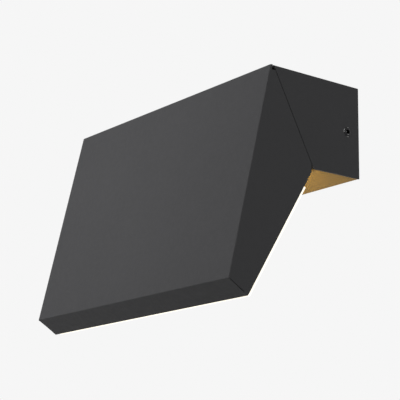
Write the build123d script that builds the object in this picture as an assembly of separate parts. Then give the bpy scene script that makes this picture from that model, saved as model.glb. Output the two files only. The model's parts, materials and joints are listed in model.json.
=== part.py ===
from build123d import *

import os
from math import acos, cos, degrees, radians, sin, tan

# Outdoor wall light: a wall box with a slanted front, and a folded hood that tilts on two hinges
# at the top of that front and shines back onto the wall.
# Millimetres. The wall is the plane y = 0, -Y points away from it, +Z is up.
# Side outlines are points (out, up): the distance out from the wall and the height.

# Wall box
BOX_WIDTH = 280.0
BOX_HEIGHT = 80.0
BOX_TOP_DEPTH = 94.0
BOX_BOTTOM_DEPTH = 51.0
BOX_SHEET = 1.5
BOX_BEND_RADIUS = 1.0
RETURN_WIDTH = 12.0  # inward folds that carry the underside plate
RETURN_SETBACK = 8.0  # from the wall to the side folds
UNDERSIDE_SHEET = 1.2
UNDERSIDE_RECESS = 0.2  # the plate lies this far inside the box's lower edges
UNDERSIDE_STUD_SPACING = 120.0

# Hinges in a recess along the box's top front edge
AXIS_SETBACK = 2.6  # tilt axis behind the top front edge
AXIS_DROP = 3.2  # tilt axis below the box's top
TILT_RANGE = 60.0  # degrees, from closed to open
RECESS_DEPTH = 16.0
RECESS_HEIGHT = 22.0
HINGE_INSET = 45.0  # from the box's sides to the hinges
HUB_CLEARANCE = 0.2  # from an arm's hub up to the level of the box's top
PIN_RADIUS = 1.5
PIN_CLEARANCE = 0.05
PIN_HEAD_RADIUS = 2.8
PIN_HEAD = 1.2
WASHER = 0.8
HINGE_EAR = 2.0
HINGE_EAR_HEIGHT = 9.0
HINGE_BASE_SIDE = 8.0  # base plate beyond each ear
RIVET_RADIUS = 1.6
RIVET_HEAD_RADIUS = 2.8
RIVET_HEAD = 1.2

# Hood
HOOD_PLATE_LENGTH = 186.0
HOOD_TILT = 13.0  # degrees, the closed plate leans out from upright
HOOD_LIP = 22.4
HOOD_SHEET = 2.0
HOOD_BEND_RADIUS = 0.8
HOOD_GAP = 1.2  # between the box's top front edge and the plate
SEAM_GAP = 0.7  # between the box's slanted front and the flanges
CORNER_GAP = 0.5  # mitred seam between flange and lip
CORNER_WELD = 4.2  # length of the weld that closes this seam at the hood's open back
HEEL_CUT = 2.0  # upright trim of the flanges' widest corners
ARM_SHEET = 4.0
ARM_FLANGE = 2.0
ARM_FLANGE_WIDTH = 16.0
ARM_STUDS = 3
ARM_STUD_START = 15.0  # from the level of the tilt axis down to the first stud
ARM_STUD_SPACING = 45.0
ARM_STUD_LENGTH = 8.0

# Light tray behind the opal panel, measured from the hood's heel down along its open back
DIFFUSER_START = 17.5
DIFFUSER_THICKNESS = 5.2
DIFFUSER_PROUD = 3.2
SEAL_THICKNESS = 1.0
SEAL_WIDTH = 5.0
TRAY_SHEET = 1.0
TRAY_RIM = 6.5
TRAY_DEPTH = 13.0  # from the rim's face to the back of the tray
BOARD_THICKNESS = 1.6
BOARD_MARGIN = 12.0
CHIP_SIZE = (3.5, 2.8, 0.8)
CHIPS_PER_ROW = 12
CHIP_END_MARGIN = 14.0  # from the board's ends to the rows' ends
CHIP_ROW_SPACING = 42.0
CONNECTOR_SIZE = (10.0, 8.0, 6.0)
APRON_SHEET = 1.5
APRON_INSET = 0.6  # behind the flanges' edges along the seam
APRON_RISE = 24.0  # leg that faces the box's front
APRON_SCREWS = 3
APRON_SCREW_INSET = 50.0  # from the hood's sides to the outer screws
APRON_SCREW_LENGTH = 6.0

# Wall bracket and what it carries
BRACKET_SHEET = 2.0
GASKET_WIDTH = 7.0
GASKET_THICKNESS = 3.0
GASKET_CLEARANCE = 0.2  # from the gasket to the driver at its top and to the cable boss at its bottom
WALL_SLOT_INSET = 35.0  # from the box's sides to the slots' middles
WALL_SLOT_WIDTH = 5.5
WALL_SLOT_LENGTH = 12.0
SIDE_SCREW_OUT = 13.0
SIDE_SCREW_UP = -1.2
SIDE_SCREW_LENGTH = 12.0
SIDE_SCREW_HEAD_RADIUS = 4.2
SIDE_SCREW_CROWN = 1.0  # height of the head's round top
SIDE_SCREW_SOCKET_RADIUS = 1.65
SIDE_SCREW_SOCKET_DEPTH = 2.4
SIDE_SCREW_LOBE_RADIUS = 0.6
SIDE_SCREW_LOBES = 6
EAR_HALF_HEIGHT = 10.0
EAR_STEP = 7.0
EAR_LENGTH = 20.0
CABLE_RADIUS = 4.5
GROMMET_NECK_RADIUS = 8.0
GROMMET_RADIUS = 11.0
GROMMET_FLANGE = 2.0
BOSS_RADIUS = 14.0
BOSS_RISE = 2.5
DRIVER_SIZE = (100.0, 21.0, 28.0)
DRIVER_EDGE = 2.0
LIVE_PORT = (12.0, -4.0)  # out from the wall, up from the driver's middle
NEUTRAL_PORT = (17.0, 5.0)
LEAD_PORT = (12.0, 0.0)
TERMINAL_SIZE = (30.0, 15.0, 20.0)
TERMINAL_X = 42.0
TERMINAL_MARGIN = 2.9  # from the bracket's lower edge to the terminal block
TERMINAL_EDGE = 1.0
TERMINAL_WELL = 4.0
TERMINAL_SCREW = 3.0
POLE_SPACING = 10.0
PORT_DEPTH = 3.0
TAB_LENGTH = 12.0
TAB_HEIGHT = 14.0
TAB_THICKNESS = 3.0
EARTH_X = -42.0
LUG_SHEET = 1.0
LUG_RADIUS = 4.0
LUG_NECK = 3.0
LUG_REACH = 8.0  # from the earth screw down to the end of its wire
LUG_BARREL = 5.0
LUG_BARREL_WALL = 0.8

# Common hardware, leads and clearances
M3_RADIUS = 1.5
M4_RADIUS = 2.0
M3_NUT = (5.5, 2.4)  # across flats, height
M4_NUT = (7.0, 3.2)
STUD_TIP = 1.0  # a stud reaches this far beyond its nut
PAN_HEAD_RADIUS = 2.8
PAN_HEAD = 1.5
SCREW_SLOT = (0.7, 0.7)  # width, depth
THREAD_CLEARANCE = 0.05
HOLE_CLEARANCE = 0.15
FIT = 0.3  # loose fit between sheet parts
BEND_SHARE = 0.95  # the bends of a wire or lead take at most this share of a straight run
WIRE_RADIUS = 1.0
WIRE_BEND = 4.0
LIVE_ROUTE = (7.0, 8.0, 5.0)  # rise from the terminal, sweep past the driver's tab, lift on the way
NEUTRAL_ROUTE = (6.0, 2.0, 1.0)
EARTH_DROP = 2.5  # the earth wire runs this far below the bracket
LEAD_RADIUS = 1.2
LEAD_BEND = 5.0
LEAD_GROMMET_NECK = 2.6
LEAD_GROMMET_RADIUS = 4.0
LEAD_GROMMET_FLANGE = 1.0
LEAD_INSIDE = 25.0  # from the left hinge to where the lead leaves the box for the recess
LEAD_EXIT_DROP = 6.0  # the lead leaves the box this far below the tilt axis
LEAD_TWIST = 16.0  # the lead runs this far along the tilt axis, and half way passes from box to hood
LEAD_PLUG = 2.0  # the lead reaches this far into the board's connector
PAD_RADIUS = 5.0
PAD_SPACING = 120.0

# Places worked out from the sizes above
HALF_WIDTH = BOX_WIDTH / 2
BOX_INNER = HALF_WIDTH - BOX_SHEET
HOOD_INNER = HALF_WIDTH - HOOD_SHEET
TOP = BOX_HEIGHT / 2
BOTTOM = -TOP
BASE = (Align.CENTER, Align.CENTER, Align.MIN)
SIDES = (-1, 1)

BOX_TOP_FRONT = Vector(BOX_TOP_DEPTH, TOP)
BOX_BOTTOM_FRONT = Vector(BOX_BOTTOM_DEPTH, BOTTOM)
FRONT_UP = (BOX_TOP_FRONT - BOX_BOTTOM_FRONT).normalized()
FRONT_OUT = Vector(FRONT_UP.Y, -FRONT_UP.X)
RECESS_BACK = BOX_TOP_DEPTH - RECESS_DEPTH
RECESS_FLOOR = TOP - RECESS_HEIGHT

AXIS = Vector(BOX_TOP_DEPTH - AXIS_SETBACK, TOP - AXIS_DROP)
HUB_RADIUS = AXIS_DROP - HUB_CLEARANCE
EAR_INNER = ARM_SHEET / 2 + WASHER + 2 * PIN_CLEARANCE
EAR_OUTER = EAR_INNER + HINGE_EAR
PIN_REACH = EAR_OUTER + PIN_CLEARANCE + PIN_HEAD
HINGE_X = HALF_WIDTH - HINGE_INSET
HINGE_XS = (-HINGE_X, HINGE_X)
LEAD_X = LEAD_INSIDE - HINGE_X
LEAD_DROP_X = LEAD_X + LEAD_TWIST
LEAD_EXIT = AXIS.Y - LEAD_EXIT_DROP

PLATE_DOWN = Vector(sin(radians(HOOD_TILT)), -cos(radians(HOOD_TILT)))
PLATE_OUT = Vector(-PLATE_DOWN.Y, PLATE_DOWN.X)


def slide_to(point, direction, up):
    """Point at the given height on the line through a point."""
    return point + direction * ((up - point.Y) / direction.Y)


def meet(point, direction, line_point, line_normal):
    """Point where a line meets the line with the given normal."""
    return point + direction * ((line_point - point).dot(line_normal) / direction.dot(line_normal))


HOOD_TOP = slide_to(BOX_TOP_FRONT + PLATE_OUT * (HOOD_GAP + HOOD_SHEET), PLATE_DOWN, TOP)
HOOD_HEEL = slide_to(BOX_BOTTOM_FRONT + FRONT_OUT * SEAM_GAP, FRONT_UP, BOTTOM)
LIP_FRONT = HOOD_TOP + PLATE_DOWN * HOOD_PLATE_LENGTH

# The lip stands square to the hood's open back, which runs from the heel to the lip's edge.
TO_HEEL = HOOD_HEEL - LIP_FRONT
LIP_BACKWARD = TO_HEEL.normalized().rotate(Axis.Z, degrees(acos(HOOD_LIP / TO_HEEL.length)))
LIP_BACK = LIP_FRONT + LIP_BACKWARD * HOOD_LIP
DECK_DOWN = (LIP_BACK - HOOD_HEEL).normalized()
DECK_IN = LIP_BACKWARD * -1
DECK_LENGTH = (LIP_BACK - HOOD_HEEL).length

# Depths of the tray's layers inside the hood's open back
RIM_DEPTH = DIFFUSER_THICKNESS - DIFFUSER_PROUD + SEAL_THICKNESS
TRAY_BACK = RIM_DEPTH + TRAY_DEPTH
TRAY_FLOOR = TRAY_BACK - TRAY_SHEET
BOARD_FACE = TRAY_FLOOR - BOARD_THICKNESS
DIFFUSER_END = DECK_LENGTH - HOOD_SHEET - FIT
PAN_START = DIFFUSER_START + TRAY_RIM
PAN_END = DIFFUSER_END - TRAY_RIM
PAN_HALF = HOOD_INNER - FIT - TRAY_RIM
BOARD_MIDDLE = (PAN_START + PAN_END) / 2
BOARD_HALF = PAN_HALF - BOARD_MARGIN / 2
RIVET_ROWS = (PAN_START + BOARD_MARGIN / 2, PAN_END - BOARD_MARGIN / 2)
ARM_FLANGE_MIDDLE = HINGE_X - ARM_FLANGE_WIDTH / 2

RETURN_LOW = BOTTOM + UNDERSIDE_RECESS + UNDERSIDE_SHEET
BRACKET_HALF_WIDTH = BOX_INNER - GASKET_WIDTH - 2 * FIT
GASKET_INNER_HEIGHT = TOP - BOX_SHEET - FIT - GASKET_WIDTH
BRACKET_HALF_HEIGHT = GASKET_INNER_HEIGHT - FIT
CABLE_UP = BOSS_RADIUS + GASKET_CLEARANCE - GASKET_INNER_HEIGHT
DRIVER_UP = GASKET_INNER_HEIGHT - GASKET_CLEARANCE - DRIVER_SIZE[2] / 2
TERMINAL_UP = TERMINAL_MARGIN + TERMINAL_SIZE[2] / 2 - BRACKET_HALF_HEIGHT
EARTH_UP = TERMINAL_UP
GROMMET_BACK = BOSS_RISE - GROMMET_FLANGE
GROMMET_FRONT = BOSS_RISE + BRACKET_SHEET + GROMMET_FLANGE


def space(x, point):
    """Place in the light's frame of a point of a side outline."""
    return Vector(x, -point.X, point.Y)


def spot(x, out, up):
    """Place at a distance out from the wall."""
    return Vector(x, -out, up)


def front_at(up):
    """Distance from the wall to the box's slanted front at a height."""
    return slide_to(BOX_BOTTOM_FRONT, FRONT_UP, up).X


def plate_point(down, depth):
    """Point down the hood's plate from its top edge, at a depth behind its outer face."""
    return HOOD_TOP + PLATE_DOWN * down - PLATE_OUT * depth


def deck_point(down, depth):
    """Point down the hood's open back from the heel, at a depth inside it."""
    return HOOD_HEEL + DECK_DOWN * down + DECK_IN * depth


def slab(outline, x0, x1):
    """Solid with a side outline, between two x planes."""
    face = make_face(Polyline(*[space(x0, point) for point in outline], close=True))
    return extrude(face, amount=x1 - x0, dir=(1, 0, 0))


def block(x0, x1, out0, out1, up0, up1):
    return slab([Vector(out0, up0), Vector(out1, up0), Vector(out1, up1), Vector(out0, up1)], x0, x1)


def deck_block(x0, x1, down0, down1, depth0, depth1):
    """Box laid on the hood's open back."""
    corners = [(down0, depth0), (down1, depth0), (down1, depth1), (down0, depth1)]
    return slab([deck_point(down, depth) for down, depth in corners], x0, x1)


def bent_sheet(face_points, thickness, x0, x1):
    """Bent sheet whose one face follows the points, with its thickness on the left of them."""
    runs = [(b - a).normalized() for a, b in zip(face_points, face_points[1:])]
    lefts = [Vector(-run.Y, run.X) for run in runs]
    offsets = [lefts[0]]
    for before, after in zip(lefts, lefts[1:]):
        offsets.append((before + after) * (1 / (1 + before.dot(after))))
    offsets.append(lefts[-1])
    back_points = [point + offset * thickness for point, offset in zip(face_points, offsets)]
    return slab(face_points + back_points[::-1], x0, x1)


def rod(start, end, radius):
    """Round bar between two places."""
    run = end - start
    return Plane(start, z_dir=run) * Cylinder(radius, run.length, align=BASE)


def ring(start, end, outer_radius, inner_radius):
    return rod(start, end, outer_radius) - rod(start, end, inner_radius)


def nut(seat, direction, size, bore_radius):
    """Hexagon nut standing on a seat."""
    flats, height = size
    hexagon = RegularPolygon(flats / 2, 6, major_radius=False) - Circle(bore_radius)
    return extrude(Plane(seat, z_dir=direction) * hexagon, height)


def pan_screw(seat, direction, radius, length):
    """Slotted pan-head screw. The seat is under the head and the direction leads into the work."""
    head_top = seat - direction * PAN_HEAD
    width, depth = SCREW_SLOT
    slot = Plane(head_top, z_dir=direction) * Box(2 * PAN_HEAD_RADIUS, width, depth, align=BASE)
    return rod(head_top, seat, PAN_HEAD_RADIUS) + rod(seat, seat + direction * length, radius) - slot


def rivet(face, back):
    """Rivet with a head on each side of the sheets between two places."""
    run = (back - face).normalized()
    shank = rod(face, back, RIVET_RADIUS)
    return (shank + rod(face - run * RIVET_HEAD, face, RIVET_HEAD_RADIUS)
            + rod(back, back + run * RIVET_HEAD, RIVET_HEAD_RADIUS))


def tube_along(places, bend_radius, radius):
    """Round lead along straight runs with bends between them, tighter where a run is short."""
    path = FilletPolyline(*places, radius=min(bend_radius, widest_bend(places)))
    return sweep(Plane(path @ 0, z_dir=path % 0) * Circle(radius), path=path)


def widest_bend(places):
    """Largest bend radius that the runs between the places have room for."""
    runs = [end - start for start, end in zip(places, places[1:])]
    turns = [before.get_angle(after) for before, after in zip(runs, runs[1:])]
    tangents = [0, *[tan(radians(turn / 2)) for turn in turns], 0]
    spans = zip(runs, tangents, tangents[1:])
    return min(BEND_SHARE * run.length / (near + far) for run, near, far in spans)


def heading(direction):
    """Direction of a side outline in the light's frame."""
    return Vector(0, -direction.X, direction.Y)


def hinge_rivet_places():
    """Places on the recess's back wall where the hinge brackets are riveted."""
    offset = EAR_OUTER + HINGE_BASE_SIDE / 2
    up = RECESS_FLOOR + (AXIS.Y - RECESS_FLOOR) / 2
    return [(x + side * offset, up) for x in HINGE_XS for side in SIDES]


def underside_studs():
    """Places of the underside plate's studs, under the front and side returns."""
    front = front_at(RETURN_LOW) - BOX_SHEET - RETURN_WIDTH / 2
    side = BOX_INNER - RETURN_WIDTH / 2
    front_studs = [(end * UNDERSIDE_STUD_SPACING / 2, front) for end in SIDES]
    return front_studs + [(end * side, RETURN_SETBACK + RETURN_WIDTH) for end in SIDES]


def arm_stud_downs():
    """Distances down the plate of the studs that hold an arm."""
    first = arm_top_down() + ARM_STUD_START
    return [first + ARM_STUD_SPACING * i for i in range(ARM_STUDS)]


def flange_top():
    """Upper end of the flanges' back edges, low enough to clear the box's front when the hood is open."""
    front = (BOX_TOP_FRONT - AXIS).dot(FRONT_OUT)
    seam = front + SEAM_GAP
    tilt = radians(TILT_RANGE)
    below = (front + FIT - seam * cos(tilt)) / sin(tilt)
    return AXIS + FRONT_OUT * seam - FRONT_UP * below


def arm_top_down():
    """Distance down the plate where an arm starts to lie on it, level with the tilt axis."""
    return (AXIS - HOOD_TOP).dot(PLATE_DOWN)


def apron_screw_places():
    reach = HALF_WIDTH - APRON_SCREW_INSET
    spacing = 2 * reach / (APRON_SCREWS - 1)
    return [(-reach + spacing * i, DIFFUSER_START / 2) for i in range(APRON_SCREWS)]


def control_screw_places():
    """Screws through the tabs of the driver and of the terminal block."""
    places = []
    for middle, size, up in ((0, DRIVER_SIZE, DRIVER_UP), (TERMINAL_X, TERMINAL_SIZE, TERMINAL_UP)):
        reach = size[0] / 2 + TAB_LENGTH / 2
        places += [(middle + side * reach, up) for side in SIDES]
    return places


def make_wall_bracket():
    sheet = BRACKET_SHEET
    width, height = BRACKET_HALF_WIDTH, BRACKET_HALF_HEIGHT
    plate = block(-width, width, 0, sheet, -height, height)
    boss_back, boss_front = spot(0, 0, CABLE_UP), spot(0, BOSS_RISE + sheet, CABLE_UP)
    plate += rod(boss_back, boss_front, BOSS_RADIUS)
    plate -= rod(boss_back, spot(0, BOSS_RISE, CABLE_UP), BOSS_RADIUS - sheet)
    plate -= rod(boss_back, boss_front, GROMMET_NECK_RADIUS)
    for side in SIDES:
        slot = Plane(spot(side * (HALF_WIDTH - WALL_SLOT_INSET), 0, 0), x_dir=(1, 0, 0), z_dir=(0, -1, 0))
        plate -= extrude(slot * SlotOverall(WALL_SLOT_LENGTH, WALL_SLOT_WIDTH), sheet)
        plate += make_bracket_ear(side)
    for x, up in control_screw_places():
        plate -= rod(spot(x, 0, up), spot(x, sheet, up), M3_RADIUS + THREAD_CLEARANCE)
    plate -= rod(spot(EARTH_X, 0, EARTH_UP), spot(EARTH_X, sheet, EARTH_UP), M4_RADIUS + THREAD_CLEARANCE)
    return plate


def side_screw_place(x):
    return spot(x, SIDE_SCREW_OUT, SIDE_SCREW_UP)


def side_screw_plane(side):
    """Plane on the box's side that faces out at its screw."""
    return Plane(side_screw_place(side * HALF_WIDTH), z_dir=(side, 0, 0))


def side_screw_cone(clearance):
    """Countersunk part of a side screw's head, below the level of the box's side."""
    depth = SIDE_SCREW_HEAD_RADIUS - M4_RADIUS
    low, high = M4_RADIUS + clearance, SIDE_SCREW_HEAD_RADIUS + clearance
    return Pos(0, 0, -depth) * Cone(low, high, depth, align=BASE)


def make_bracket_ear(side):
    """Stepped ear that reaches round the gasket to the box's side and takes its locking screw."""
    inner, outer = BRACKET_HALF_WIDTH, BOX_INNER - FIT
    low, high = SIDE_SCREW_UP - EAR_HALF_HEIGHT, SIDE_SCREW_UP + EAR_HALF_HEIGHT
    sheet = BRACKET_SHEET
    spans = [(inner - sheet, inner, 0, EAR_STEP + sheet), (inner - sheet, outer, EAR_STEP, EAR_STEP + sheet),
             (outer - sheet, outer, EAR_STEP, EAR_LENGTH)]
    ear = Part() + [block(*sorted((side * x0, side * x1)), out0, out1, low, high)
                    for x0, x1, out0, out1 in spans]
    ear -= side_screw_plane(side) * side_screw_cone(HOLE_CLEARANCE)
    hole = side_screw_place(side * inner), side_screw_place(side * outer)
    return ear - rod(*hole, M4_RADIUS + THREAD_CLEARANCE)


def make_wall_gasket():
    outer_width, inner_width = BOX_INNER - FIT, BOX_INNER - FIT - GASKET_WIDTH
    outer_height, inner_height = GASKET_INNER_HEIGHT + GASKET_WIDTH, GASKET_INNER_HEIGHT
    frame = block(-outer_width, outer_width, 0, GASKET_THICKNESS, -outer_height, outer_height)
    return frame - block(-inner_width, inner_width, 0, GASKET_THICKNESS, -inner_height, inner_height)


def make_box_shell():
    side_outline = [Vector(0, BOTTOM), BOX_BOTTOM_FRONT, BOX_TOP_FRONT, Vector(0, TOP)]
    shell = Part() + [slab(side_outline, *sorted((side * BOX_INNER, side * HALF_WIDTH))) for side in SIDES]
    under_top = TOP - BOX_SHEET
    under_front = Vector(front_at(under_top), under_top)
    top_outline = [Vector(0, under_top), under_front, BOX_TOP_FRONT, Vector(0, TOP)]
    shell += slab(top_outline, -HALF_WIDTH, HALF_WIDTH)
    front_face = [BOX_BOTTOM_FRONT, Vector(front_at(RECESS_FLOOR), RECESS_FLOOR),
                  Vector(RECESS_BACK, RECESS_FLOOR), Vector(RECESS_BACK, under_top)]
    shell += bent_sheet(front_face, BOX_SHEET, -BOX_INNER, BOX_INNER)
    shell += make_box_returns()
    bends = shell.edges().filter_by(Axis.Y).group_by(Axis.Z)[-1]
    shell = fillet(bends.filter_by(lambda edge: abs(edge.center().X) > BOX_INNER), BOX_BEND_RADIUS)
    for side in SIDES:
        shell -= side_screw_plane(side) * side_screw_cone(HOLE_CLEARANCE)
    for x, up in hinge_rivet_places():
        hole = spot(x, RECESS_BACK - BOX_SHEET, up), spot(x, RECESS_BACK, up)
        shell -= rod(*hole, RIVET_RADIUS + HOLE_CLEARANCE)
    for x in HINGE_XS:
        reach = PIN_REACH + FIT
        shell -= block(x - reach, x + reach, AXIS.X - HUB_RADIUS - FIT, BOX_TOP_DEPTH, under_top, TOP)
    exit_hole = spot(LEAD_X, RECESS_BACK - BOX_SHEET, LEAD_EXIT), spot(LEAD_X, RECESS_BACK, LEAD_EXIT)
    return shell - rod(*exit_hole, LEAD_GROMMET_NECK)


def make_box_returns():
    """Inward folds along the front and the sides, just above the underside plate."""
    high = RETURN_LOW + BOX_SHEET
    overlap = BOX_SHEET / 2
    reach = BOX_SHEET + RETURN_WIDTH
    back = front_at(RETURN_LOW) - reach
    front = [Vector(back, RETURN_LOW), Vector(front_at(RETURN_LOW) - overlap, RETURN_LOW),
             Vector(front_at(high) - overlap, high), Vector(back, high)]
    folds = slab(front, -BOX_INNER, BOX_INNER)
    for side in SIDES:
        span = sorted((side * (BOX_INNER - RETURN_WIDTH), side * (BOX_INNER + overlap)))
        folds += block(*span, RETURN_SETBACK, back, RETURN_LOW, high)
    for x, out in underside_studs():
        folds -= rod(spot(x, out, RETURN_LOW), spot(x, out, high), M3_RADIUS + HOLE_CLEARANCE)
    return folds


def make_underside_plate():
    front = front_at(BOTTOM) - 2 * BOX_SHEET
    width = BOX_INNER - FIT
    plate = block(-width, width, FIT, front, BOTTOM + UNDERSIDE_RECESS, RETURN_LOW)
    tall = RETURN_LOW + BOX_SHEET + M3_NUT[1] + STUD_TIP
    return plate + [rod(spot(x, out, BOTTOM + UNDERSIDE_RECESS), spot(x, out, tall), M3_RADIUS)
                    for x, out in underside_studs()]


def make_underside_nuts():
    seat = RETURN_LOW + BOX_SHEET
    return Compound([nut(spot(x, out, seat), Vector(0, 0, 1), M3_NUT, M3_RADIUS + THREAD_CLEARANCE)
                     for x, out in underside_studs()])


def make_side_screws():
    """Raised countersunk screws with lobed sockets, from the box's sides into the bracket's ears."""
    crown_radius = (SIDE_SCREW_HEAD_RADIUS ** 2 + SIDE_SCREW_CROWN ** 2) / (2 * SIDE_SCREW_CROWN)
    crown = Cylinder(SIDE_SCREW_HEAD_RADIUS, SIDE_SCREW_CROWN, align=BASE)
    crown &= Pos(0, 0, SIDE_SCREW_CROWN - crown_radius) * Sphere(crown_radius)
    shank = Pos(0, 0, -SIDE_SCREW_LENGTH) * Cylinder(M4_RADIUS, SIDE_SCREW_LENGTH, align=BASE)
    lobes = PolarLocations(SIDE_SCREW_SOCKET_RADIUS, SIDE_SCREW_LOBES)
    socket = Circle(SIDE_SCREW_SOCKET_RADIUS) + lobes * Circle(SIDE_SCREW_LOBE_RADIUS)
    screw = crown + side_screw_cone(0) + shank
    screw -= extrude(Pos(0, 0, SIDE_SCREW_CROWN) * socket, -SIDE_SCREW_SOCKET_DEPTH)
    return Compound([side_screw_plane(side) * screw for side in SIDES])


def make_cable_grommet():
    back, front = spot(0, GROMMET_BACK, CABLE_UP), spot(0, GROMMET_FRONT, CABLE_UP)
    body = rod(back, front, GROMMET_NECK_RADIUS)
    body += rod(back, spot(0, BOSS_RISE, CABLE_UP), GROMMET_RADIUS)
    body += rod(spot(0, BOSS_RISE + BRACKET_SHEET, CABLE_UP), front, GROMMET_RADIUS)
    return body - rod(back, front, CABLE_RADIUS)


def tabbed_case(middle, size, up, edge_radius):
    """Case on the bracket with a screw tab at each end."""
    length, depth, height = size
    back = BRACKET_SHEET
    left, right = middle - length / 2, middle + length / 2
    case = block(left, right, back, back + depth, up - height / 2, up + height / 2)
    case = fillet(case.edges().group_by(Axis.Y)[0], edge_radius)
    reach = length / 2 + TAB_LENGTH
    low, high = up - TAB_HEIGHT / 2, up + TAB_HEIGHT / 2
    case += block(middle - reach, middle + reach, back, back + TAB_THICKNESS, low, high)
    for side in SIDES:
        x = middle + side * (length / 2 + TAB_LENGTH / 2)
        case -= rod(spot(x, back, up), spot(x, back + TAB_THICKNESS, up), M3_RADIUS + HOLE_CLEARANCE)
    return case


def make_led_driver():
    case = tabbed_case(0, DRIVER_SIZE, DRIVER_UP, DRIVER_EDGE)
    ports = [(LIVE_PORT, 1, WIRE_RADIUS), (NEUTRAL_PORT, 1, WIRE_RADIUS), (LEAD_PORT, -1, LEAD_RADIUS)]
    for port, side, radius in ports:
        start = driver_port(port, side)
        case -= rod(start, start - Vector(side * PORT_DEPTH, 0, 0), radius + HOLE_CLEARANCE)
    return case


def driver_port(port, side):
    """Where a wire enters the driver's left or right end."""
    out, up = port
    return spot(side * DRIVER_SIZE[0] / 2, out, DRIVER_UP + up)


def terminal_poles():
    return [TERMINAL_X + POLE_SPACING * i for i in (-1, 0, 1)]


def terminal_port(pole, side):
    """Wire entry of a pole on the block's upper or lower face."""
    depth, height = TERMINAL_SIZE[1:]
    return spot(terminal_poles()[pole], BRACKET_SHEET + depth / 2, TERMINAL_UP + side * height / 2)


def terminal_screw_places():
    return [(x, TERMINAL_UP + side * TERMINAL_SIZE[2] / 4) for x in terminal_poles() for side in SIDES]


def make_terminal_block():
    case = tabbed_case(TERMINAL_X, TERMINAL_SIZE, TERMINAL_UP, TERMINAL_EDGE)
    face = BRACKET_SHEET + TERMINAL_SIZE[1]
    for pole in range(len(terminal_poles())):
        for side in SIDES:
            port = terminal_port(pole, side)
            case -= rod(port, port - Vector(0, 0, side * PORT_DEPTH), WIRE_RADIUS + HOLE_CLEARANCE)
    for x, up in terminal_screw_places():
        case -= rod(spot(x, face - TERMINAL_WELL, up), spot(x, face, up), M4_RADIUS + HOLE_CLEARANCE)
    return case


def make_terminal_screws():
    floor = BRACKET_SHEET + TERMINAL_SIZE[1] - TERMINAL_WELL
    width, depth = SCREW_SLOT
    screws = []
    for x, up in terminal_screw_places():
        top = spot(x, floor + TERMINAL_SCREW, up)
        slot = Plane(top, z_dir=(0, 1, 0)) * Box(2 * M4_RADIUS, width, depth, align=BASE)
        screws.append(rod(spot(x, floor, up), top, M4_RADIUS) - slot)
    return Compound(screws)


def make_control_screws():
    seat = BRACKET_SHEET + TAB_THICKNESS
    inward = Vector(0, 1, 0)
    return Compound([pan_screw(spot(x, seat, up), inward, M3_RADIUS, seat - FIT)
                     for x, up in control_screw_places()])


def make_earth_screw():
    seat = BRACKET_SHEET + LUG_SHEET
    return pan_screw(spot(EARTH_X, seat, EARTH_UP), Vector(0, 1, 0), M4_RADIUS, seat - FIT)


def make_earth_lug():
    """Ring under the earth screw with a barrel for the wire."""
    face = BRACKET_SHEET + LUG_SHEET
    back, front = spot(EARTH_X, BRACKET_SHEET, EARTH_UP), spot(EARTH_X, face, EARTH_UP)
    wire_end = earth_wire_end()
    barrel_top, barrel_end = (wire_end + Vector(0, 0, side * LUG_BARREL / 2) for side in (1, -1))
    lug = rod(back, front, LUG_RADIUS)
    lug += block(EARTH_X - LUG_NECK / 2, EARTH_X + LUG_NECK / 2, BRACKET_SHEET, face, barrel_end.Z, EARTH_UP)
    lug += rod(barrel_end, barrel_top, WIRE_RADIUS + LUG_BARREL_WALL)
    lug -= rod(barrel_end, wire_end, WIRE_RADIUS + THREAD_CLEARANCE)
    return lug - rod(back, front, M4_RADIUS + HOLE_CLEARANCE)


def earth_wire_end():
    """End of the earth wire, with the lug's barrel just clear of the bracket."""
    return spot(EARTH_X, BRACKET_SHEET + LUG_SHEET / 2 + LUG_BARREL_WALL + WIRE_RADIUS, EARTH_UP - LUG_REACH)


def make_earth_wire():
    start, end = terminal_port(0, -1), earth_wire_end()
    low = -BRACKET_HALF_HEIGHT - EARTH_DROP
    places = [start, Vector(start.X, start.Y, low), Vector(end.X, end.Y, low), end]
    return tube_along(places, WIRE_BEND, WIRE_RADIUS)


def supply_wire(pole, port, route):
    """Wire from the top of a terminal, round the driver's tab and into the driver's end."""
    start, end = terminal_port(pole, 1), driver_port(port, 1)
    rise, sweep, lift = route
    clear = end.X + TAB_LENGTH + sweep
    level = start.Z + rise
    places = [start, Vector(start.X, start.Y, level), Vector(clear, end.Y, level + lift),
              Vector(clear, end.Y, end.Z), end]
    return tube_along(places, WIRE_BEND, WIRE_RADIUS)


def make_live_wire():
    return supply_wire(2, LIVE_PORT, LIVE_ROUTE)


def make_neutral_wire():
    return supply_wire(1, NEUTRAL_PORT, NEUTRAL_ROUTE)


def make_hinge_brackets():
    """U-shaped brackets riveted in the recess, with two ears each round the pin."""
    reach = EAR_OUTER + HINGE_BASE_SIDE
    base_top, base_low = TOP - BOX_SHEET - FIT, RECESS_FLOOR + FIT
    brackets = []
    for x in HINGE_XS:
        bracket = block(x - reach, x + reach, RECESS_BACK, RECESS_BACK + HINGE_EAR, base_low, base_top)
        for side in SIDES:
            span = sorted((x + side * EAR_INNER, x + side * EAR_OUTER))
            bracket += block(*span, RECESS_BACK, AXIS.X, AXIS.Y - HINGE_EAR_HEIGHT, AXIS.Y)
            bracket += rod(space(span[0], AXIS), space(span[1], AXIS), HUB_RADIUS)
        bracket -= rod(space(x - reach, AXIS), space(x + reach, AXIS), PIN_RADIUS + PIN_CLEARANCE)
        brackets.append(bracket)
    base_face = RECESS_BACK + HINGE_EAR
    holes = [rod(spot(x, RECESS_BACK, up), spot(x, base_face, up), RIVET_RADIUS + HOLE_CLEARANCE)
             for x, up in hinge_rivet_places()]
    return Compound([bracket - holes for bracket in brackets])


def make_hinge_rivets():
    return Compound([rivet(spot(x, RECESS_BACK + HINGE_EAR, up), spot(x, RECESS_BACK - BOX_SHEET, up))
                     for x, up in hinge_rivet_places()])


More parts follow.
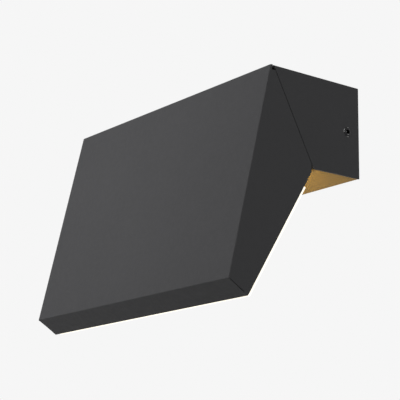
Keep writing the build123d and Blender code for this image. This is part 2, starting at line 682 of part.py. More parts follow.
def make_hinge_pins():
    """Pins with their heads on the outer sides."""
    pins = []
    for x, side in zip(HINGE_XS, SIDES):
        ends = space(x - PIN_REACH, AXIS), space(x + PIN_REACH, AXIS)
        head = space(x + side * (PIN_REACH - PIN_HEAD), AXIS), space(x + side * PIN_REACH, AXIS)
        pins.append(rod(*ends, PIN_RADIUS) + rod(*head, PIN_HEAD_RADIUS))
    return Compound(pins)


def make_pin_clips():
    near, far = EAR_OUTER + PIN_CLEARANCE, EAR_OUTER + PIN_CLEARANCE + WASHER
    return Compound([ring(space(x - side * near, AXIS), space(x - side * far, AXIS), PIN_HEAD_RADIUS,
                          PIN_RADIUS + PIN_CLEARANCE) for x, side in zip(HINGE_XS, SIDES)])


def make_friction_washers():
    near, far = ARM_SHEET / 2 + PIN_CLEARANCE, ARM_SHEET / 2 + PIN_CLEARANCE + WASHER
    return Compound([ring(space(x + side * near, AXIS), space(x + side * far, AXIS), PIN_HEAD_RADIUS,
                          PIN_RADIUS + PIN_CLEARANCE) for x in HINGE_XS for side in SIDES])


def make_lead_grommet():
    back, front = RECESS_BACK - BOX_SHEET, RECESS_BACK
    inside, outside = back - LEAD_GROMMET_FLANGE, front + LEAD_GROMMET_FLANGE
    inside, back, front, outside = (spot(LEAD_X, out, LEAD_EXIT) for out in (inside, back, front, outside))
    body = rod(back, front, LEAD_GROMMET_NECK)
    body += rod(inside, back, LEAD_GROMMET_RADIUS)
    body += rod(front, outside, LEAD_GROMMET_RADIUS)
    return body - rod(inside, outside, LEAD_RADIUS + THREAD_CLEARANCE)


def lead_split_place():
    """Place on the tilt axis where the lead's two halves meet, so that the lead only twists there."""
    return space(LEAD_X + LEAD_TWIST / 2, AXIS)


def make_driver_lead():
    start = driver_port(LEAD_PORT, -1)
    rise = spot(LEAD_X, RECESS_BACK / 2, LEAD_EXIT)
    leave = spot(LEAD_X, RECESS_BACK + 2 * LEAD_GROMMET_FLANGE, LEAD_EXIT)
    places = [start, Vector(LEAD_X, start.Y, start.Z), rise, leave, space(LEAD_X, AXIS), lead_split_place()]
    return tube_along(places, LEAD_BEND, LEAD_RADIUS)


def make_hood_lead():
    turn = deck_point(BOARD_MIDDLE, TRAY_BACK + 2 * LEAD_BEND)
    end = deck_point(BOARD_MIDDLE, BOARD_FACE - LEAD_PLUG)
    places = [lead_split_place(), space(LEAD_DROP_X, AXIS), space(LEAD_DROP_X, turn), space(LEAD_DROP_X, end)]
    return tube_along(places, LEAD_BEND, LEAD_RADIUS)


def make_bump_pads():
    middle = BOX_BOTTOM_FRONT + FRONT_UP * (APRON_RISE / 2)
    face = middle + FRONT_OUT * (SEAM_GAP + APRON_INSET - FIT)
    return Compound([rod(space(x, middle), space(x, face), PAD_RADIUS)
                     for x in (-PAD_SPACING / 2, PAD_SPACING / 2)])


def make_hood_shell():
    """Folded hood: front plate, two side flanges and a lip."""
    seam_top = flange_top()
    plate_inner = [slide_to(plate_point(0, HOOD_SHEET), PLATE_DOWN, up) for up in (seam_top.Y, TOP)]
    heel_low = HOOD_HEEL + DECK_DOWN * (HEEL_CUT / DECK_DOWN.X)
    heel_high = HOOD_HEEL + FRONT_UP * (HEEL_CUT / FRONT_UP.X)
    outline = [HOOD_TOP, LIP_FRONT, LIP_BACK, heel_low, heel_high, seam_top, *plate_inner]
    wedge = slab(outline, -HALF_WIDTH, HALF_WIDTH)
    wedge = fillet(hood_folds(wedge), HOOD_BEND_RADIUS)
    lip_inner = meet(LIP_FRONT - DECK_DOWN * HOOD_SHEET, DECK_IN, plate_point(0, HOOD_SHEET), PLATE_OUT)
    cavity = [plate_point(-HOOD_LIP, HOOD_SHEET), lip_inner, deck_point(DECK_LENGTH - HOOD_SHEET, -HOOD_LIP),
              Vector(0, BOTTOM), Vector(0, TOP + HOOD_LIP)]
    shell = wedge - slab(cavity, -HOOD_INNER, HOOD_INNER)
    lip_depth = (lip_inner - HOOD_HEEL).dot(DECK_IN)
    shell -= [corner_seam(side, lip_depth) for side in SIDES]
    for x in (-ARM_FLANGE_MIDDLE, ARM_FLANGE_MIDDLE):
        for down in arm_stud_downs():
            root = space(x, plate_point(down, HOOD_SHEET / 2))
            shell += rod(root, space(x, plate_point(down, HOOD_SHEET + ARM_STUD_LENGTH)), M4_RADIUS)
    return shell


def corner_seam(side, depth):
    """Mitred gap between a flange and the lip, from the weld at the hood's open back to the plate."""
    half_gap = CORNER_GAP * cos(radians(45))
    inside, outside = HOOD_INNER - HOOD_SHEET, HALF_WIDTH + HOOD_SHEET
    near, far = DECK_LENGTH - 2 * HOOD_SHEET, DECK_LENGTH + HOOD_SHEET
    corners = [(inside - half_gap, near), (outside - half_gap, far),
               (outside + half_gap, far), (inside + half_gap, near)]
    places = [space(side * x, deck_point(down, CORNER_WELD)) for x, down in corners]
    return extrude(make_face(Polyline(*places, close=True)), amount=depth - CORNER_WELD, dir=heading(DECK_IN))


def hood_folds(wedge):
    """Outer edges where the flanges and the lip fold away from the plate."""
    middle = (HOOD_TOP + LIP_FRONT) * 0.5
    fold_places = [space(side * HALF_WIDTH, middle) for side in SIDES] + [space(0, LIP_FRONT)]
    return [wedge.edges().sort_by_distance(place)[0] for place in fold_places]


def make_hinge_arms():
    """Ribs with a hub on the tilt axis, a flange on the plate and a flange on the tray."""
    high, low = PAN_START + FIT, PAN_END - FIT
    foot_end = meet(deck_point(low, 0), DECK_IN, plate_point(0, HOOD_SHEET), PLATE_OUT)
    outline = [AXIS - PLATE_DOWN * HUB_RADIUS, plate_point(arm_top_down(), HOOD_SHEET), foot_end,
               deck_point(low, TRAY_BACK), deck_point(high, TRAY_BACK), AXIS + PLATE_DOWN * HUB_RADIUS]
    foot_start = arm_top_down() + 2 * HUB_RADIUS
    foot_stop = (foot_end - HOOD_TOP).dot(PLATE_DOWN) - ARM_FLANGE_WIDTH
    foot_face, foot_back = HOOD_SHEET, HOOD_SHEET + ARM_FLANGE
    foot = [plate_point(foot_start, foot_face), plate_point(foot_stop, foot_face),
            plate_point(foot_stop, foot_back), plate_point(foot_start, foot_back)]
    arms = []
    for x, side in zip(HINGE_XS, SIDES):
        rib = x - ARM_SHEET / 2, x + ARM_SHEET / 2
        flange = sorted((x, x - side * ARM_FLANGE_WIDTH))
        arm = slab(outline, *rib) + rod(space(rib[0], AXIS), space(rib[1], AXIS), HUB_RADIUS)
        arm += slab(foot, *flange)
        arm += deck_block(*flange, high, low, TRAY_BACK, TRAY_BACK + ARM_FLANGE)
        arm -= rod(space(rib[0], AXIS), space(rib[1], AXIS), PIN_RADIUS + PIN_CLEARANCE)
        middle = side * ARM_FLANGE_MIDDLE
        for down in arm_stud_downs():
            hole = space(middle, plate_point(down, foot_face)), space(middle, plate_point(down, foot_back))
            arm -= rod(*hole, M4_RADIUS + HOLE_CLEARANCE)
        for down in RIVET_ROWS:
            hole = (space(middle, deck_point(down, depth)) for depth in (TRAY_BACK, TRAY_BACK + ARM_FLANGE))
            arm -= rod(*hole, RIVET_RADIUS + HOLE_CLEARANCE)
        arms.append(arm)
    return Compound(arms)


def make_arm_nuts():
    depth = HOOD_SHEET + ARM_FLANGE
    inward = heading(PLATE_OUT) * -1
    return Compound([nut(space(x, plate_point(down, depth)), inward, M4_NUT, M4_RADIUS + THREAD_CLEARANCE)
                     for x in (-ARM_FLANGE_MIDDLE, ARM_FLANGE_MIDDLE) for down in arm_stud_downs()])


def make_light_tray():
    """White pan with a flat rim that carries the opal panel and, at the top, the apron."""
    rim_half = HOOD_INNER - FIT
    rim_back = RIM_DEPTH + TRAY_SHEET
    tray = deck_block(-rim_half, rim_half, APRON_SHEET + 2 * FIT, DIFFUSER_END, RIM_DEPTH, rim_back)
    tray += deck_block(-PAN_HALF, PAN_HALF, PAN_START, PAN_END, RIM_DEPTH, TRAY_BACK)
    inner = PAN_HALF - TRAY_SHEET
    tray -= deck_block(-inner, inner, PAN_START + TRAY_SHEET, PAN_END - TRAY_SHEET, RIM_DEPTH, TRAY_FLOOR)
    for x, down in apron_screw_places():
        hole = space(x, deck_point(down, RIM_DEPTH)), space(x, deck_point(down, rim_back))
        tray -= rod(*hole, M3_RADIUS + THREAD_CLEARANCE)
    for x in (-ARM_FLANGE_MIDDLE, ARM_FLANGE_MIDDLE):
        for down in RIVET_ROWS:
            hole = space(x, deck_point(down, TRAY_FLOOR)), space(x, deck_point(down, TRAY_BACK))
            tray -= rod(*hole, RIVET_RADIUS + HOLE_CLEARANCE)
    return tray - rod(*lead_hole(TRAY_FLOOR, TRAY_BACK), LEAD_GROMMET_NECK)


def lead_hole(depth0, depth1):
    """Ends of the lead's hole through the tray and the board."""
    return [space(LEAD_DROP_X, deck_point(BOARD_MIDDLE, depth)) for depth in (depth0, depth1)]


def make_tray_rivets():
    face, back = TRAY_FLOOR, TRAY_BACK + ARM_FLANGE
    return Compound([rivet(space(x, deck_point(down, face)), space(x, deck_point(down, back)))
                     for x in (-ARM_FLANGE_MIDDLE, ARM_FLANGE_MIDDLE) for down in RIVET_ROWS])


def make_apron():
    """Bent strip that closes the hood between the opal panel and the box's front."""
    outer = RIM_DEPTH - APRON_SHEET
    seam_point = HOOD_HEEL + FRONT_OUT * APRON_INSET
    bend = meet(deck_point(0, outer), DECK_DOWN, seam_point, FRONT_OUT)
    face = [bend + FRONT_UP * APRON_RISE, bend, deck_point(DIFFUSER_START - FIT, outer)]
    width = HOOD_INNER - FIT
    apron = bent_sheet(face, APRON_SHEET, -width, width)
    for x, down in apron_screw_places():
        hole = space(x, deck_point(down, outer)), space(x, deck_point(down, RIM_DEPTH))
        apron -= rod(*hole, M3_RADIUS + HOLE_CLEARANCE)
    return apron


def make_apron_screws():
    seat = RIM_DEPTH - APRON_SHEET
    inward = heading(DECK_IN)
    return Compound([pan_screw(space(x, deck_point(down, seat)), inward, M3_RADIUS, APRON_SCREW_LENGTH)
                     for x, down in apron_screw_places()])


def make_led_board():
    start, end = PAN_START + BOARD_MARGIN, PAN_END - BOARD_MARGIN
    board = deck_block(-BOARD_HALF, BOARD_HALF, start, end, BOARD_FACE, TRAY_FLOOR)
    return board - rod(*lead_hole(BOARD_FACE, TRAY_FLOOR), LEAD_RADIUS + HOLE_CLEARANCE)


def make_led_chips():
    length, width, height = CHIP_SIZE
    first = CHIP_END_MARGIN - BOARD_HALF
    spacing = -2 * first / (CHIPS_PER_ROW - 1)
    chips = []
    for side in SIDES:
        down = BOARD_MIDDLE + side * CHIP_ROW_SPACING / 2 - width / 2
        for i in range(CHIPS_PER_ROW):
            x = first + spacing * i - length / 2
            chips.append(deck_block(x, x + length, down, down + width, BOARD_FACE - height, BOARD_FACE))
    return Compound(chips)


def make_board_connector():
    length, width, height = CONNECTOR_SIZE
    body = deck_block(LEAD_DROP_X - length / 2, LEAD_DROP_X + length / 2, BOARD_MIDDLE - width / 2,
                      BOARD_MIDDLE + width / 2, BOARD_FACE - height, BOARD_FACE)
    return body - rod(*lead_hole(BOARD_FACE - LEAD_PLUG, BOARD_FACE), LEAD_RADIUS + THREAD_CLEARANCE)


def make_tray_grommet():
    flange_back = TRAY_BACK + LEAD_GROMMET_FLANGE
    body = rod(*lead_hole(TRAY_FLOOR, flange_back), LEAD_GROMMET_NECK)
    body += rod(*lead_hole(TRAY_BACK, flange_back), LEAD_GROMMET_RADIUS)
    return body - rod(*lead_hole(TRAY_FLOOR, flange_back), LEAD_RADIUS + THREAD_CLEARANCE)


def make_diffuser_seal():
    half = HOOD_INNER - 2 * FIT
    face, back = RIM_DEPTH - SEAL_THICKNESS, RIM_DEPTH
    frame = deck_block(-half, half, DIFFUSER_START, DIFFUSER_END, face, back)
    inner = half - SEAL_WIDTH
    start, end = DIFFUSER_START + SEAL_WIDTH, DIFFUSER_END - SEAL_WIDTH
    return frame - deck_block(-inner, inner, start, end, face, back)


def make_diffuser():
    half = HOOD_INNER - 2 * FIT
    back = DIFFUSER_THICKNESS - DIFFUSER_PROUD
    return deck_block(-half, half, DIFFUSER_START, DIFFUSER_END, -DIFFUSER_PROUD, back)


NODES = {
    "wall_bracket": make_wall_bracket,
    "wall_gasket": make_wall_gasket,
    "box_shell": make_box_shell,
    "underside_plate": make_underside_plate,
    "underside_nuts": make_underside_nuts,
    "side_screws": make_side_screws,
    "cable_grommet": make_cable_grommet,
    "led_driver": make_led_driver,
    "terminal_block": make_terminal_block,
    "terminal_screws": make_terminal_screws,
    "control_screws": make_control_screws,
    "earth_screw": make_earth_screw,
    "earth_lug": make_earth_lug,
    "earth_wire": make_earth_wire,
    "live_wire": make_live_wire,
    "neutral_wire": make_neutral_wire,
    "hinge_brackets": make_hinge_brackets,
    "hinge_rivets": make_hinge_rivets,
    "hinge_pins": make_hinge_pins,
    "pin_clips": make_pin_clips,
    "friction_washers": make_friction_washers,
    "lead_grommet": make_lead_grommet,
    "driver_lead": make_driver_lead,
    "bump_pads": make_bump_pads,
    "hood_shell": make_hood_shell,
    "hinge_arms": make_hinge_arms,
    "arm_nuts": make_arm_nuts,
    "light_tray": make_light_tray,
    "tray_rivets": make_tray_rivets,
    "apron": make_apron,
    "apron_screws": make_apron_screws,
    "led_board": make_led_board,
    "led_chips": make_led_chips,
    "board_connector": make_board_connector,
    "tray_grommet": make_tray_grommet,
    "hood_lead": make_hood_lead,
    "diffuser_seal": make_diffuser_seal,
    "diffuser": make_diffuser,
}

os.makedirs("parts", exist_ok=True)
for node, make in NODES.items():
    export_step(make(), f"parts/{node}.step")
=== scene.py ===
import json
from math import cos, pi, radians, sin

import bpy
from mathutils import Matrix, Vector


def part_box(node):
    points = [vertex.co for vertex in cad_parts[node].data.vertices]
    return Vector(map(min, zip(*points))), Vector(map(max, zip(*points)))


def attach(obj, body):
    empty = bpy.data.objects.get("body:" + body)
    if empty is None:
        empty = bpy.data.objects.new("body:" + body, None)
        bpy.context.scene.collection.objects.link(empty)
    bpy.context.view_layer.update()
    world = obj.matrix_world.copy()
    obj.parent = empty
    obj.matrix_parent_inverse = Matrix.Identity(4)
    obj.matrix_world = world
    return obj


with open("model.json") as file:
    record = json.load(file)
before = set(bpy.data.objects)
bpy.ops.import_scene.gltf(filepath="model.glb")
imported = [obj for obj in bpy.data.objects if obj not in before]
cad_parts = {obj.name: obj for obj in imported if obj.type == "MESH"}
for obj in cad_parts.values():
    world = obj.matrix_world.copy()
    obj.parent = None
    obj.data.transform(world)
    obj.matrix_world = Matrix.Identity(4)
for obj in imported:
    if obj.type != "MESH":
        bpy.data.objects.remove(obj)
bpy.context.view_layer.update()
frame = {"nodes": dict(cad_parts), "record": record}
nodes = frame["nodes"]
scene = bpy.context.scene

# Metres, in the part's frame: the wall is the plane y = 0, -Y points away from it and +Z is up.

# Camera, fitted to the corners of the box and of the hood in the photo
CAMERA_AZIMUTH = 52.715
CAMERA_ELEVATION = -13.952
CAMERA_ROLL = 0.783
CAMERA_PLACE = Vector((0.94201, -0.77823, -0.33549))
CAMERA_LENS = 123.26
CAMERA_SENSOR = 36

# Studio
FLOOR_LEVEL = -1.3
FLOOR_SIZE = 40.0
FLOOR_GLOW = 0.58
FLOOR_COLOR = (0.8, 0.8, 0.79)
BACKGROUND = (0.9216, 0.9216, 0.9216)
AMBIENT = 0.28
STUDIO_AIM = Vector((0, -0.08, -0.05))

# Light that the opal panel throws
PANEL_LAMP_WIDTH = 0.26
PANEL_LAMP_HEIGHT = 0.09
PANEL_LAMP_STANDOFF = 0.002
PANEL_LAMP_COLOR = (1.0, 0.86, 0.58)
PANEL_FACE_POWER = 0.55
PANEL_RIM_POWER = 0.28
PANEL_RIM = 0.014  # height of the strip above the panel that the panel's top rim lights
PANEL_PROUD = 0.0032  # the panel's face stands this far in front of that strip

# Colours and marks of the materials
ANTHRACITE = (0.066, 0.066, 0.0685)
GOLD = (0.2, 0.118, 0.02)
GOLD_EDGE = (1.0, 0.75, 0.35)
# Painted glints on the blackened parts: bright steel in spots along their edges, standing in for highlights
PAINTED_GLINT_STEEL = (0.6, 0.6, 0.6)
GLINT_EDGE_WIDTH = 0.0008
GLINT_SPOT_GRAIN = 0.0037
# Painted shade in the recesses of the blackened parts: how far it reaches and how dark it gets
RECESS_REACH = 0.003
RECESS_SHADE = 0.1
STRIPES_PER_METRE = 60.0
OPAL_BAND = 0.037  # from a row of LEDs to the dimmest line beside it
OPAL_DIM = 0.82  # light on that line, as a share of the row's
OPAL_END_DIM = 0.85  # light past the rows' ends
OPAL_END_START = -0.01  # where it falls to that, from the last LEDs
OPAL_END_STOP = 0.02
OPAL_RIM = 0.002
OPAL_RIM_GAIN = 0.6


def make_camera():
    """Camera at the photo's place, with the small roll that the photo shows."""
    azimuth, elevation, roll = (radians(a) for a in (CAMERA_AZIMUTH, CAMERA_ELEVATION, CAMERA_ROLL))
    right = Vector((cos(azimuth), sin(azimuth), 0))
    back = Vector((sin(azimuth) * cos(elevation), -cos(azimuth) * cos(elevation), sin(elevation)))
    up = back.cross(right)
    rolled_right = right * cos(roll) + up * sin(roll)
    rolled_up = up * cos(roll) - right * sin(roll)
    data = bpy.data.cameras.new("camera")
    data.lens = CAMERA_LENS
    data.sensor_width = CAMERA_SENSOR
    camera = bpy.data.objects.new("camera", data)
    scene.collection.objects.link(camera)
    turn = Matrix((rolled_right, rolled_up, back)).transposed().to_quaternion()
    camera.matrix_world = Matrix.LocRotScale(CAMERA_PLACE, turn, None)
    scene.camera = camera


def link(tree, source, target):
    tree.links.new(source, target)


def shade(color, factor):
    return tuple(channel * factor for channel in color)


class Material:
    """A principled material with helpers for its texture nodes, in metres of the object's own space."""

    def __init__(self, name, **values):
        self.data = bpy.data.materials.new(name)
        self.data.use_nodes = True
        self.tree = self.data.node_tree
        self.shader = self.tree.nodes["Principled BSDF"]
        self.place = self.node("ShaderNodeTexCoord").outputs["Object"]
        for key, value in values.items():
            self.shader.inputs[key.replace("_", " ")].default_value = value

    def node(self, kind, **settings):
        made = self.tree.nodes.new(kind)
        for key, value in settings.items():
            setattr(made, key, value)
        return made

    def stretched(self, scale):
        """Texture place with its own scale along each axis."""
        mapping = self.node("ShaderNodeMapping")
        mapping.inputs["Scale"].default_value = scale
        link(self.tree, self.place, mapping.inputs["Vector"])
        return mapping.outputs["Vector"]

    def noise(self, grain, detail=3.0, place=None):
        """Noise whose features are about the grain wide."""
        texture = self.node("ShaderNodeTexNoise")
        texture.inputs["Scale"].default_value = 1 / grain
        texture.inputs["Detail"].default_value = detail
        link(self.tree, place or self.place, texture.inputs["Vector"])
        return texture.outputs["Fac"]

    def cells(self, grain):
        """Distance from the middles of cells that are about the grain wide."""
        texture = self.node("ShaderNodeTexVoronoi")
        texture.inputs["Scale"].default_value = 1 / grain
        link(self.tree, self.place, texture.inputs["Vector"])
        return texture.outputs["Distance"]

    def along(self, direction):
        """Distance along a direction."""
        made = self.node("ShaderNodeVectorMath", operation="DOT_PRODUCT")
        link(self.tree, self.place, made.inputs[0])
        made.inputs[1].default_value = direction
        return made.outputs["Value"]

    def spread(self, value, low, high, start=0.3, end=0.7):
        """Maps a texture value between start and end to a range."""
        ramp = self.node("ShaderNodeMapRange")
        for key, number in (("From Min", start), ("From Max", end), ("To Min", low), ("To Max", high)):
            ramp.inputs[key].default_value = number
        link(self.tree, value, ramp.inputs["Value"])
        return ramp.outputs["Result"]

    def math(self, operation, *values):
        made = self.node("ShaderNodeMath", operation=operation)
        for socket, value in zip(made.inputs, values):
            if isinstance(value, (int, float)):
                socket.default_value = value
            else:
                link(self.tree, value, socket)
        return made.outputs["Value"]

    def mix(self, factor, a, b):
        """Colour between two colours."""
        made = self.node("ShaderNodeMix", data_type="RGBA")
        link(self.tree, factor, made.inputs["Factor"])
        for key, color in (("A", a), ("B", b)):
            socket = next(s for s in made.inputs if s.name == key and s.type == "RGBA")
            if isinstance(color, tuple):
                socket.default_value = (*color, 1)
            else:
                link(self.tree, color, socket)
        return next(s for s in made.outputs if s.type == "RGBA")

    def shades(self, value, color, low, high, start=0.3, end=0.7):
        """Colour between a low and a high shade of a colour, by a texture value."""
        return self.mix(self.spread(value, 0, 1, start, end), shade(color, low), shade(color, high))

    def edges(self, radius):
        """1 along sharp edges, where a normal rounded over the radius leaves the face's own, else 0."""
        bevel = self.node("ShaderNodeBevel")
        bevel.inputs["Radius"].default_value = radius
        rounded = self.node("ShaderNodeVectorMath", operation="DOT_PRODUCT")
        link(self.tree, bevel.outputs["Normal"], rounded.inputs[0])
        link(self.tree, self.node("ShaderNodeNewGeometry").outputs["Normal"], rounded.inputs[1])
        return self.spread(rounded.outputs["Value"], 1, 0, start=0.9, end=0.99)

    def openness(self, reach):
        """1 on open faces, falling to 0 in recesses that are deep for the reach."""
        shelter = self.node("ShaderNodeAmbientOcclusion")
        shelter.inputs["Distance"].default_value = reach
        return self.spread(shelter.outputs["AO"], 0, 1, start=0.45, end=0.85)

    def feed(self, socket, value):
        link(self.tree, value, self.shader.inputs[socket])

    def bump(self, height, depth, strength):
        made = self.node("ShaderNodeBump")
        made.inputs["Strength"].default_value = strength
        made.inputs["Distance"].default_value = depth
        link(self.tree, height, made.inputs["Height"])
        self.feed("Normal", made.outputs["Normal"])


def powder_coat(name, color):
    """Fine textured powder coat: a tight orange peel, small flecks and a slow drift in tone."""
    made = Material(name, Specular_IOR_Level=0.06)
    peel = made.noise(grain=0.0011, detail=2.0)
    flecks = made.noise(grain=0.00035, detail=1.0)
    tone = made.shades(made.noise(grain=0.09, detail=2.0), color, 0.98, 1.02)
    bright = made.spread(flecks, 0, 1, start=0.62, end=0.75)
    made.feed("Base Color", made.mix(bright, tone, shade(color, 1.35)))
    made.feed("Roughness", made.spread(made.noise(grain=0.004), 0.6, 0.74))
    made.bump(made.math("ADD", peel, made.math("MULTIPLY", flecks, 0.5)), depth=0.00012, strength=0.55)
    return made.data


def gold_sheet(name, color):
    """Satin anodised sheet, brushed along its length."""
    made = Material(name, Metallic=0.15, IOR=1.2, Specular_Tint=(*GOLD_EDGE, 1))
    brush = made.noise(grain=0.0005, place=made.stretched((0.012, 1, 1)))
    tone = made.shades(made.noise(grain=0.06, detail=1.0), color, 0.98, 1.02)
    made.feed("Base Color", made.mix(made.spread(brush, 0, 1), tone, shade(color, 0.95)))
    made.feed("Roughness", made.spread(brush, 0.42, 0.52))
    made.bump(brush, depth=0.00002, strength=0.3)
    return made.data


def opal_panel(name, color, glow, strength):
    """Opal acrylic lit from behind."""
    made = Material(name, Roughness=0.35)
    made.feed("Base Color", made.shades(made.noise(grain=0.03), color, 0.97, 1, start=0, end=1))
    made.feed("Emission Color", made.shades(made.noise(grain=0.04, detail=1.0), glow, 0.97, 1))
    made.feed("Emission Strength", made.math("MULTIPLY", panel_light(made), strength))
    made.bump(made.noise(grain=0.0006, detail=2.0), depth=0.00003, strength=0.3)
    return made.data


def panel_light(made):
    """How the panel is lit: brighter along the rows of LEDs and at its rim, dimmer past the rows' ends."""
    low, high = (Vector(corner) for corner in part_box("led_chips"))
    rows = Vector((0, high.y - low.y, high.z - low.z))
    upward = rows.normalized()
    middle = (low + high).dot(upward) / 2
    from_middle = made.math("ABSOLUTE", made.math("SUBTRACT", made.along(upward), middle))
    from_row = made.math("ABSOLUTE", made.math("SUBTRACT", from_middle, rows.length / 2))
    bands = made.math("COSINE", made.math("MULTIPLY", from_row, pi / OPAL_BAND))
    across = made.math("ABSOLUTE", made.along((1, 0, 0)))
    ends = made.spread(across, 1, OPAL_END_DIM, high.x + OPAL_END_START, high.x + OPAL_END_STOP)
    lit = made.math("MULTIPLY", made.spread(bands, OPAL_DIM, 1, start=-1, end=1), ends)
    panel = [vertex.co for vertex in nodes["diffuser"].data.vertices]
    side = max(corner.x for corner in panel)
    bottom = max(-corner.dot(upward) for corner in panel) + middle
    for place, edge in ((across, side), (from_middle, bottom)):
        rim = made.spread(place, 0, OPAL_RIM_GAIN, edge - OPAL_RIM, edge - OPAL_RIM / 4)
        lit = made.math("ADD", lit, rim)
    return lit


def zinc_sheet(name, color):
    """Zinc plated sheet with faint crystals and a rolled grain."""
    made = Material(name, Metallic=0.9)
    crystals = made.cells(grain=0.006)
    rolled = made.noise(grain=0.001, place=made.stretched((0.05, 1, 1)))
    tone = made.shades(crystals, color, 0.86, 1, start=0.2, end=0.9)
    made.feed("Base Color", made.mix(made.spread(rolled, 0, 1), tone, shade(color, 0.93)))
    made.feed("Roughness", made.spread(crystals, 0.3, 0.46, start=0.1, end=0.9))
    made.bump(rolled, depth=0.00003, strength=0.4)
    return made.data


def metal_part(name, color, rough):
    """Small turned or stamped metal part with fine tool marks."""
    made = Material(name, Metallic=1.0)
    marks = made.noise(grain=0.0006, detail=4.0)
    made.feed("Base Color", made.shades(marks, color, 0.85, 1))
    made.feed("Roughness", made.spread(marks, rough - 0.07, rough + 0.09))
    made.bump(marks, depth=0.00002, strength=0.4)
    return made.data


def black_oxide(name, color):
    """Blackened metal with an uneven stain, painted shade in its recesses and painted glints of bright steel
    in spots along its edges.
    """
    made = Material(name, Metallic=0.7, Specular_IOR_Level=0.2)
    stain = made.noise(grain=0.0015, detail=4.0)
    tone = made.shades(stain, color, 0.8, 1.25)
    # Painted shade: in recesses the colour falls to a dark shade of itself, by ambient occlusion.
    stain_and_painted_shade = made.mix(made.openness(RECESS_REACH), shade(color, RECESS_SHADE), tone)
    # Painted glints: spots along the sharp edges turn to bright steel, standing in for highlights on the
    # rims.
    spots = made.spread(made.noise(GLINT_SPOT_GRAIN), 0, 1, start=0.56, end=0.64)
    painted_glints = made.math("MULTIPLY", made.edges(GLINT_EDGE_WIDTH), spots)
    made.feed("Base Color", made.mix(painted_glints, stain_and_painted_shade, PAINTED_GLINT_STEEL))
    made.feed("Roughness", made.spread(stain, 0.34, 0.46))
    made.bump(stain, depth=0.00002, strength=0.4)
    return made.data


def moulded(name, color, rough, grain):
    """Moulded plastic or rubber with a fine spark texture."""
    made = Material(name)
    texture = made.noise(grain, detail=2.0)
    made.feed("Base Color", made.shades(made.noise(grain=0.012), color, 0.92, 1.05))
    made.feed("Roughness", made.spread(texture, rough - 0.06, rough + 0.08))
    made.bump(texture, depth=0.00006, strength=0.4)
    return made.data


def cell_foam(name, color):
    """Closed-cell foam with small pores."""
    made = Material(name, Specular_IOR_Level=0.3)
    pores = made.cells(grain=0.0009)
    made.feed("Base Color", made.shades(pores, color, 0.5, 1.3, start=0.1, end=0.5))
    made.feed("Roughness", made.spread(pores, 0.75, 0.95, start=0.1, end=0.6))
    made.bump(pores, depth=0.0003, strength=0.7)
    return made.data


def wire_sheath(name, color, stripe=None):
    """Wire insulation, with a second colour in bands where it has one."""
    made = Material(name)
    drift = made.noise(grain=0.004)
    tone = made.shades(drift, color, 0.9, 1.06)
    if stripe:
        bands = made.node("ShaderNodeTexWave", bands_direction="Y")
        bands.inputs["Scale"].default_value = STRIPES_PER_METRE
        link(made.tree, made.place, bands.inputs["Vector"])
        tone = made.mix(made.spread(bands.outputs["Fac"], 0, 1, start=0.48, end=0.52), tone, stripe)
    made.feed("Base Color", tone)
    made.feed("Roughness", made.spread(drift, 0.32, 0.46))
    made.bump(made.noise(grain=0.0008), depth=0.00003, strength=0.3)
    return made.data


def led_phosphor(name, color, glow):
    """Yellow phosphor of a lit LED, with a fine grain."""
    made = Material(name, Roughness=0.4, Emission_Strength=1.2)
    grain = made.noise(grain=0.0002, detail=2.0)
    made.feed("Base Color", made.shades(grain, color, 0.85, 1, start=0, end=1))
    made.feed("Emission Color", made.shades(grain, glow, 0.9, 1, start=0, end=1))
    return made.data


MATERIALS = {
    "box_paint": powder_coat("box_paint", ANTHRACITE),
    "hood_paint": powder_coat("hood_paint", ANTHRACITE),
    "gold_finish": gold_sheet("gold_finish", GOLD),
    "zinc_steel": zinc_sheet("zinc_steel", (0.58, 0.59, 0.6)),
    "black_steel": black_oxide("black_steel", (0.02, 0.02, 0.021)),
    "black_zinc": black_oxide("black_zinc", (0.05, 0.05, 0.052)),
    "bright_steel": metal_part("bright_steel", (0.62, 0.62, 0.63), rough=0.28),
    "brass_parts": metal_part("brass_parts", (0.62, 0.46, 0.2), rough=0.3),
    "foam": cell_foam("foam", (0.03, 0.03, 0.031)),
    "black_rubber": moulded("black_rubber", (0.025, 0.025, 0.026), rough=0.68, grain=0.0005),
    "driver_case": moulded("driver_case", (0.75, 0.75, 0.73), rough=0.5, grain=0.0006),
    "terminal_case": moulded("terminal_case", (0.68, 0.66, 0.58), rough=0.42, grain=0.0006),
    "connector_case": moulded("connector_case", (0.8, 0.8, 0.78), rough=0.4, grain=0.0005),
    "earth_sheath": wire_sheath("earth_sheath", (0.12, 0.33, 0.05), stripe=(0.6, 0.52, 0.05)),
    "live_sheath": wire_sheath("live_sheath", (0.16, 0.07, 0.03)),
    "neutral_sheath": wire_sheath("neutral_sheath", (0.03, 0.12, 0.4)),
    "lead_sheath": moulded("lead_sheath", (0.035, 0.035, 0.036), rough=0.55, grain=0.0008),
    "washer_nylon": moulded("washer_nylon", (0.55, 0.54, 0.5), rough=0.45, grain=0.0005),
    "arm_aluminium": metal_part("arm_aluminium", (0.06, 0.06, 0.062), rough=0.45),
    "tray_white": powder_coat("tray_white", (0.8, 0.8, 0.78)),
    "board_white": moulded("board_white", (0.84, 0.85, 0.83), rough=0.35, grain=0.0004),
    "led_phosphor": led_phosphor("led_phosphor", (0.85, 0.7, 0.25), glow=(1.0, 0.9, 0.7)),
    "silicone": moulded("silicone", (0.6, 0.6, 0.6), rough=0.5, grain=0.0008),
    "opal": opal_panel("opal", (0.7, 0.69, 0.66), glow=(1.0, 0.93, 0.76), strength=0.76),
}


def dress_nodes():
    """Gives each CAD node the material of its slot in the record."""
    for entry in frame["record"]["subparts"]:
        mesh = nodes[entry["node"]].data
        mesh.materials.clear()
        mesh.materials.append(MATERIALS[entry["material_slot"]])


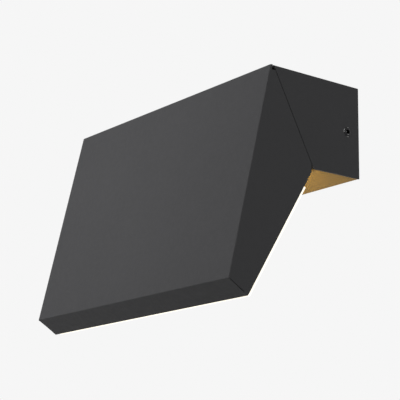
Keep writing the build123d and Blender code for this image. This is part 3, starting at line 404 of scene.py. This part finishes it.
def seen_rays(tree):
    """1 for the rays of the camera, mirrors and glass, which see the plain studio, and 0 for the rest."""
    path = tree.nodes.new("ShaderNodeLightPath")
    seen = path.outputs["Is Camera Ray"]
    for ray in ("Is Glossy Ray", "Is Transmission Ray"):
        either = tree.nodes.new("ShaderNodeMath")
        either.operation = "MAXIMUM"
        link(tree, seen, either.inputs[0])
        link(tree, path.outputs[ray], either.inputs[1])
        seen = either.outputs["Value"]
    return seen


def make_world():
    """Soft light from all around, seen as the plain background."""
    world = bpy.data.worlds.new("studio")
    world.use_nodes = True
    tree = world.node_tree
    soft = tree.nodes["Background"]
    soft.inputs["Color"].default_value = (1, 1, 1, 1)
    soft.inputs["Strength"].default_value = AMBIENT
    plain = tree.nodes.new("ShaderNodeBackground")
    plain.inputs["Color"].default_value = (*BACKGROUND, 1)
    both = tree.nodes.new("ShaderNodeMixShader")
    link(tree, seen_rays(tree), both.inputs[0])
    link(tree, soft.outputs[0], both.inputs[1])
    link(tree, plain.outputs[0], both.inputs[2])
    link(tree, both.outputs[0], tree.nodes["World Output"].inputs["Surface"])
    scene.world = world


def make_floor():
    """Pale floor that takes the object's shadow and is seen about as light as the background."""
    bpy.ops.mesh.primitive_grid_add(size=FLOOR_SIZE, location=(0, 0, FLOOR_LEVEL))
    floor = bpy.context.object
    floor.name = "floor"
    made = Material("floor_pale", Roughness=0.9, Emission_Color=(*BACKGROUND, 1))
    made.feed("Base Color", made.shades(made.noise(grain=0.5), FLOOR_COLOR, 0.99, 1, start=0, end=1))
    made.feed("Emission Strength", made.math("MULTIPLY", seen_rays(made.tree), FLOOR_GLOW))
    floor.data.materials.append(made.data)


def make_lamp(name, place, direction, power, shape, size, size_y=0.0):
    """Soft lamp that only shows by its light."""
    data = bpy.data.lights.new(name, "AREA")
    data.shape = shape
    data.size = size
    data.size_y = size_y
    data.energy = power
    lamp = bpy.data.objects.new(name, data)
    scene.collection.objects.link(lamp)
    lamp.location = place
    lamp.rotation_mode = "QUATERNION"
    lamp.rotation_quaternion = direction.to_track_quat("-Z", "Y")
    lamp.visible_camera = False
    return lamp


def make_studio_lamp(name, place, power, size):
    make_lamp(name, place, STUDIO_AIM - Vector(place), power, "DISK", size)


def make_panel_lamp(name, place, direction, power, height):
    lamp = make_lamp(name, place, direction, power, "RECTANGLE", PANEL_LAMP_WIDTH, height)
    lamp.data.color = PANEL_LAMP_COLOR
    lamp.visible_glossy = False
    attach(lamp, "hood")


def make_panel_lamps():
    """The light that the opal panel throws from its face and from the strip above it, carried by the hood."""
    mesh = nodes["diffuser"].data
    wall_side = [face for face in mesh.polygons if face.normal.y > 0]
    outward = max(wall_side, key=lambda face: face.area).normal.copy()
    upward = Vector((1, 0, 0)).cross(outward)
    face = max(corner.co.dot(outward) for corner in mesh.vertices)
    levels = [corner.co.dot(upward) for corner in mesh.vertices]
    middle, top = (min(levels) + max(levels)) / 2, max(levels)
    face_place = outward * (face + PANEL_LAMP_STANDOFF) + upward * middle
    make_panel_lamp("panel_face", face_place, outward, PANEL_FACE_POWER, PANEL_LAMP_HEIGHT)
    rim_place = outward * (face - PANEL_PROUD) + upward * (top + PANEL_RIM / 2)
    make_panel_lamp("panel_rim", rim_place, outward, PANEL_RIM_POWER, PANEL_RIM)


make_camera()
dress_nodes()
make_world()
make_floor()
make_studio_lamp("key", (-0.15, -0.56, 0.14), power=1.85, size=0.4)
make_studio_lamp("low", (-0.35, -0.35, -0.45), power=0.25, size=0.3)
make_studio_lamp("fill", (1.9, -1.0, 0.4), power=8.6, size=1.8)
make_studio_lamp("back", (-1.0, 1.6, 1.2), power=10, size=1.2)
make_panel_lamps()
scene.view_settings.view_transform = "Standard"
